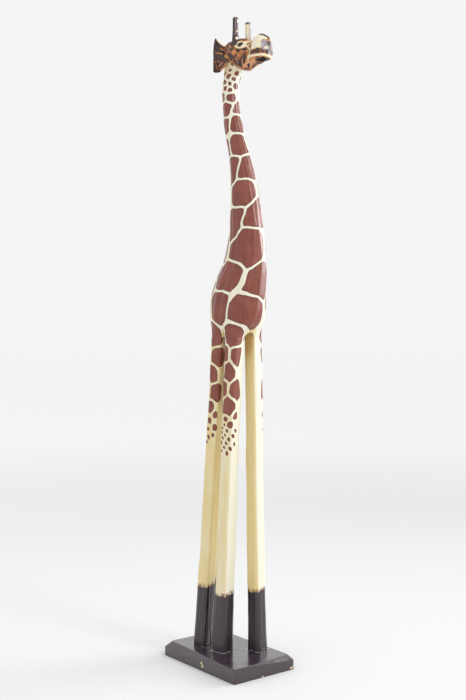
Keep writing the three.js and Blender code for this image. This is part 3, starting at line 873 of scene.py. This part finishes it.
def make_ear(place, side, material):
    """A cupped fan between a short root on the head and a tall, nearly straight outer edge."""
    across = np.linspace(-1, 1, 90)[None, :]
    out = np.linspace(0, 1, 60)[:, None]
    root_z = 943 + 13 * across
    lower_edge = -np.sin(math.pi / 2 * np.minimum(-across * 1.25, 1))
    edge_z = 943.5 + 26.6 * np.where(across > 0, across, lower_edge)
    reach = 18.6 - 3.6 * np.clip(across, 0, 1) ** 3 - 11 * smoothstep(-across, 0.55, 1.05)
    droop = -3.0 * np.clip(across, 0, 1) ** 5 * np.sin(math.pi * out) ** 1.3
    z = root_z + (edge_z - root_z) * out ** 0.9 + droop
    away = -3 + (reach + 3) * out
    cup = -6.0 * (1 - across**2) * np.sin(math.pi * out * 0.6) + 2.2 * out**2
    # A deep crease from the upper tip down to the root, and gouged strokes fanning out.
    crease_at = 0.92 * out**1.5 + 0.12
    crease = bell(across - crease_at, 0.09) * (1 - smoothstep(out, 0.86, 1))
    fan = np.stack(np.broadcast_arrays(across * 30, out * 5.5, 0.0), axis=-1)
    strokes = noise(fan, 2.2, 31) * smoothstep(out, 0.1, 0.4)
    thickness = 3.2 - 1.6 * out
    sweep = math.radians(EAR_SWEEP)
    outward = np.array([-math.sin(sweep), side * math.cos(sweep), 0])
    forward = np.array([math.cos(sweep), side * math.sin(sweep), 0])
    root = np.array([14, side * 19, 0])

    def sheet(offset):
        flat = root + away[..., None] * outward + offset[..., None] * forward
        flat[..., 2] = np.broadcast_to(z, offset.shape)
        return flat

    def wrapped(values):
        values = np.broadcast_to(values, (out.shape[0], across.shape[1]))
        return np.concatenate([values, values[:, ::-1]], axis=1)

    front = sheet(cup - 1.3 * crease + 0.45 * strokes + thickness / 2)
    back = sheet(cup - thickness / 2 - 0.2 * strokes)
    points = np.concatenate([front, back[:, ::-1]], axis=1)
    rim = smoothstep(across, 0.86, 0.95) * (1 - smoothstep(out, 0.8, 1))
    lower = smoothstep(-across, 0.7, 0.92) * (1 - smoothstep(out, 0.5, 0.9))
    dark = 0.62 - 0.75 * smoothstep(strokes, 0.25, 0.5) - 0.7 * rim - 0.7 * lower + 0.8 * crease
    masks = {
        "cream": wrapped(0.32 * rim),
        "dark": wrapped(dark),
        "mauve": wrapped(0.0),
        "black": wrapped(smoothstep(crease, 0.35, 0.7) * 0.6),
    }
    if side > 0:
        points = points[:, ::-1]
        masks = {name: values[:, ::-1] for name, values in masks.items()}
    piece = grid_piece(f"carved_ear_{place}", points, masks)
    hand_in(piece, f"ear_{place}", material)


# ---- Tail ----

TAIL_TIP = 512
TAIL_LENGTH = 96
TAIL_RADIUS = 2.6
# Share of the tail, from its tip, that is tuft.
TUFT = 0.38


def make_tail(material):
    columns, rows = 40, 150
    share = np.linspace(0, 1, rows)[:, None]
    angle = np.linspace(-math.pi, math.pi, columns, endpoint=False)[None, :]
    height = TAIL_TIP + TAIL_LENGTH * share
    bulge = 1.2 + 2.6 * np.sin(math.pi * np.minimum(share, 0.4) / 0.42) ** 0.8
    radius = np.where(share < TUFT, bulge, TAIL_RADIUS)
    radius = radius * (1 - 0.6 * smoothstep(share, 0.95, 1))
    tuft = 1 - smoothstep(share, 0.3, TUFT)
    radius = radius + 0.28 * np.sin(angle * 7 + 2 * np.sin(share * 30)) * tuft
    radius = radius + 0.3 * np.cos(height * 1.1) * (1 - tuft)
    back = curve(height, TORSO_SECTIONS, 1) - curve(height, TORSO_SECTIONS, 2)
    x = back - 1.9 + 3 * smoothstep(share, 0.93, 1)
    x = x + radius * np.cos(angle)
    points = np.stack(np.broadcast_arrays(x, radius * np.sin(angle), height), axis=-1)
    masks = {"cream": 0.0, "dark": 0.35 + 0.5 * tuft, "mauve": 0.0, "black": 0.0}
    piece = grid_piece("carved_tail", points, masks)
    hand_in(piece, "tail", material)


# ---- Board ----

# Middle, half width and half height of each chip in the paint.
BOARD_CHIPS = (
    ((11.2, -59.5, 12), (2.0, 2.6)), ((13.7, -59.5, 7.8), (2.4, 2.2)), ((92.5, 51, 3.1), (3.2, 1.6)),
    ((92.5, -5.5, 1.5), (2.6, 1.0)), ((-92, -40, 15), (2.4, 1.4)), ((40, 59.5, 14), (3, 1.6)),
)

# The board's sharpest corner.
NEAR_CORNER = (92.5, -59.5)

# How thick the glue is round each leg's foot.
GLUE = {"front_right": 0.95, "front_left": 0.82, "hind_right": 0.74, "hind_left": 0.74}


def rounded_outline(columns, half_x, half_y, round_off):
    """Points round a rectangle, a quarter of them on each side, with its corners rounded off."""
    side = columns // 4
    t = np.linspace(-1, 1, side, endpoint=False)
    ease = np.sign(t) * (1 - (1 - np.abs(t)) ** 1.35)
    one = np.ones(side)
    x = np.concatenate([ease, one, -ease, -one])
    y = np.concatenate([-one, ease, one, -ease])
    corner = np.array([half_x, half_y])
    square = np.stack([x, y], axis=-1) * corner
    radius = round_off(square)[:, None]
    core = np.clip(square, radius - corner, corner - radius)
    reach = square - core
    return core + radius * reach / np.linalg.norm(reach, axis=-1, keepdims=True)


def from_near_corner(points):
    """0 at the board's sharpest corner, rising to 1 towards the others, which are planed off more."""
    away = np.hypot(points[..., 0] - NEAR_CORNER[0], points[..., 1] - NEAR_CORNER[1])
    return smoothstep(away, 0, 165)


def glue_round_legs(points):
    """1 on the board close round each leg's foot."""
    glue = np.zeros(points.shape[:2])
    heading = math.radians(HEADING)
    dx, dy = points[..., 0] - STANCE[0], points[..., 1] - STANCE[1]
    for place, (foot, _, girth) in LEGS.items():
        x = dx * math.cos(heading) + dy * math.sin(heading) - foot[0]
        y = dy * math.cos(heading) - dx * math.sin(heading) - foot[1]
        outside = np.maximum(np.abs(x), np.abs(y)) - LEG_SECTIONS[0][1] * girth - 0.9
        strength = GLUE[place]
        glue = np.maximum(glue, strength * bell(outside, 2.4))
    return glue


def make_board(material):
    # The looks stay this far inside the board's solid.
    margin = 0.4
    half = np.array(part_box("base_board")[1])[:2] * 1000 - margin
    outline = rounded_outline(480, *half, lambda square: 0.8 + 6.5 * from_near_corner(square))
    # The bevel all but dies away at one corner and is widest at the far ones.
    planed = 0.15 + 1.2 * from_near_corner(outline)
    inset, drop = BOARD_BEVEL * planed, (BOARD_TOP - BOARD_SIDE) * planed
    # Each row's inset and height, from the underside up the side and the bevel and in over the top.
    none = np.zeros(len(outline))
    rows = [(none + 1.0, none), (none + 0.3, none), (none, none + 0.5)]
    rows += [(none, 0.5 + share * (BOARD_TOP - drop - 0.5)) for share in np.linspace(0.1, 0.97, 11)]
    rows += [(inset * share, BOARD_TOP - drop * (1 - share)) for share in np.linspace(0.04, 0.96, 10)]
    rows += [(inset + 0.5 + extra, none + BOARD_TOP) for extra in np.linspace(0, half[1] - 12, 44)]
    rings = []
    for ring_inset, z in rows:
        ring = outline * (half - ring_inset[:, None]) / half
        rings.append(np.column_stack([ring, z]))
    points = np.array(rings)
    # Hand planing: the bevel's foot wanders and the sides are slightly scalloped.
    foot = BOARD_TOP - drop
    on_bevel = bell(points[..., 2] - foot, 3) * (points[..., 2] < BOARD_TOP - 0.1)
    points[..., 2] -= on_bevel * np.abs(1.3 * noise(points, 38, 71) + 0.2 * noise(points, 9, 72))
    on_side = (points[..., 2] > 0.4) & (points[..., 2] < BOARD_TOP - 0.3)
    scallop = 0.25 * noise(points, 14, 73) * on_side
    points[..., 0] *= 1 - 0.004 * (scallop + 0.25 * on_side)
    points[..., 1] *= 1 - 0.006 * (scallop + 0.25 * on_side)
    top = points[..., 2] > BOARD_TOP - 0.05
    points[..., 2] -= top * 0.25 * np.abs(noise(points, 30, 74))
    chip = np.zeros(points.shape[:2])
    for middle, (wide, tall) in BOARD_CHIPS:
        distance = np.linalg.norm((points - middle) / (wide, wide, tall), axis=-1)
        chip = np.maximum(chip, 1.1 - 0.55 * distance)
    edge = np.minimum(half[0] - np.abs(points[..., 0]), half[1] - np.abs(points[..., 1]))
    chip = np.maximum(chip, 0.33 * bell(edge, 1.2))
    glue = glue_round_legs(points) * top
    beads = 0.5 * glue * (points[..., 2] < BOARD_TOP - 0.02) * (0.5 + 0.5 * noise(points, 2, 75))
    points[..., 2] += beads
    piece = grid_piece("planed_board", points, {"chip": chip, "glue": glue}, local=False)
    hand_in(piece, "base_board", material)


# ---- Carried-over pieces ----


def finish_hidden_fittings():
    """Dowels and screws keep their shapes and get their own materials."""
    wood, steel = dowel_material(), steel_material()
    for name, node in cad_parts.items():
        if "dowel" in name or "screw" in name:
            node.data.materials.clear()
            node.data.materials.append(wood if "dowel" in name else steel)


# ---- Stage ----


def make_stage():
    """A wide pale floor, darker near the middle as painted shade against the lamps' pool of light, a bright
    room all round and two soft studio lamps.
    """
    mesh = bpy.data.meshes.new("floor")
    size = 150.0
    corners = [(-size, -size, 0), (size, -size, 0), (size, size, 0), (-size, size, 0)]
    mesh.from_pydata(corners, [], [(0, 1, 2, 3)])
    floor = bpy.data.objects.new("floor", mesh)
    bpy.context.scene.collection.objects.link(floor)
    s = Shader("floor_paper")
    from_middle = s.node("ShaderNodeVectorMath", operation="LENGTH")
    s.feed(from_middle.inputs[0], s.place)
    # Darker paper near the middle, where the lamps fall: painted shade that evens out their pool of light.
    near = s.mix(s.noise(900, 2.0), (0.835, 0.84, 0.84), (0.845, 0.85, 0.85))
    paper = s.mix(s.step(from_middle.outputs["Value"], 0.5, 4), near, (0.99, 0.99, 0.99))
    s.finish(paper, 0.95, Specular_IOR_Level=0.0)
    mesh.materials.append(s.material)

    world = bpy.data.worlds.new("studio")
    world.use_nodes = True
    background = world.node_tree.nodes["Background"]
    background.inputs["Color"].default_value = (1, 1, 1, 1)
    background.inputs["Strength"].default_value = 0.91
    bpy.context.scene.world = world

    def lamp(name, place, aim, size, power):
        data = bpy.data.lights.new(name, "AREA")
        data.shape = "DISK"
        data.size = size
        data.energy = power
        data.spread = math.radians(70)
        light = bpy.data.objects.new(name, data)
        light.location = place
        light.rotation_euler = (Vector(aim) - Vector(place)).to_track_quat("-Z", "Y").to_euler()
        bpy.context.scene.collection.objects.link(light)

    lamp("key", (2.6, 0.5, 1.9), (0, 0, 0.62), 0.8, 3.2)
    lamp("side", (0.7, 2.3, 1.3), (0, 0, 0.85), 1.5, 6.5)


def make_camera():
    data = bpy.data.cameras.new("view")
    data.lens = 50
    data.sensor_width = 36
    camera = bpy.data.objects.new("view", data)
    camera.location = (1.1996, -0.9299, 0.486)
    camera.rotation_euler = (math.pi / 2, 0, math.radians(51.9))
    bpy.context.scene.collection.objects.link(camera)
    bpy.context.scene.camera = camera


# ---- Everything ----

make_camera()
make_stage()
coat = coat_material()
burnt = burnt_material()
make_torso(coat)
for number, leg in enumerate(LEGS):
    make_leg(leg, number + 2, coat)
make_head(burnt)
for ear_side, ear_place in ((-1, "right"), (1, "left")):
    make_horn(ear_place, ear_side, burnt)
    make_ear(ear_place, ear_side, burnt)
make_tail(burnt)
make_board(black_paint_material())
finish_hidden_fittings()
bpy.context.scene.view_settings.view_transform = "Standard"
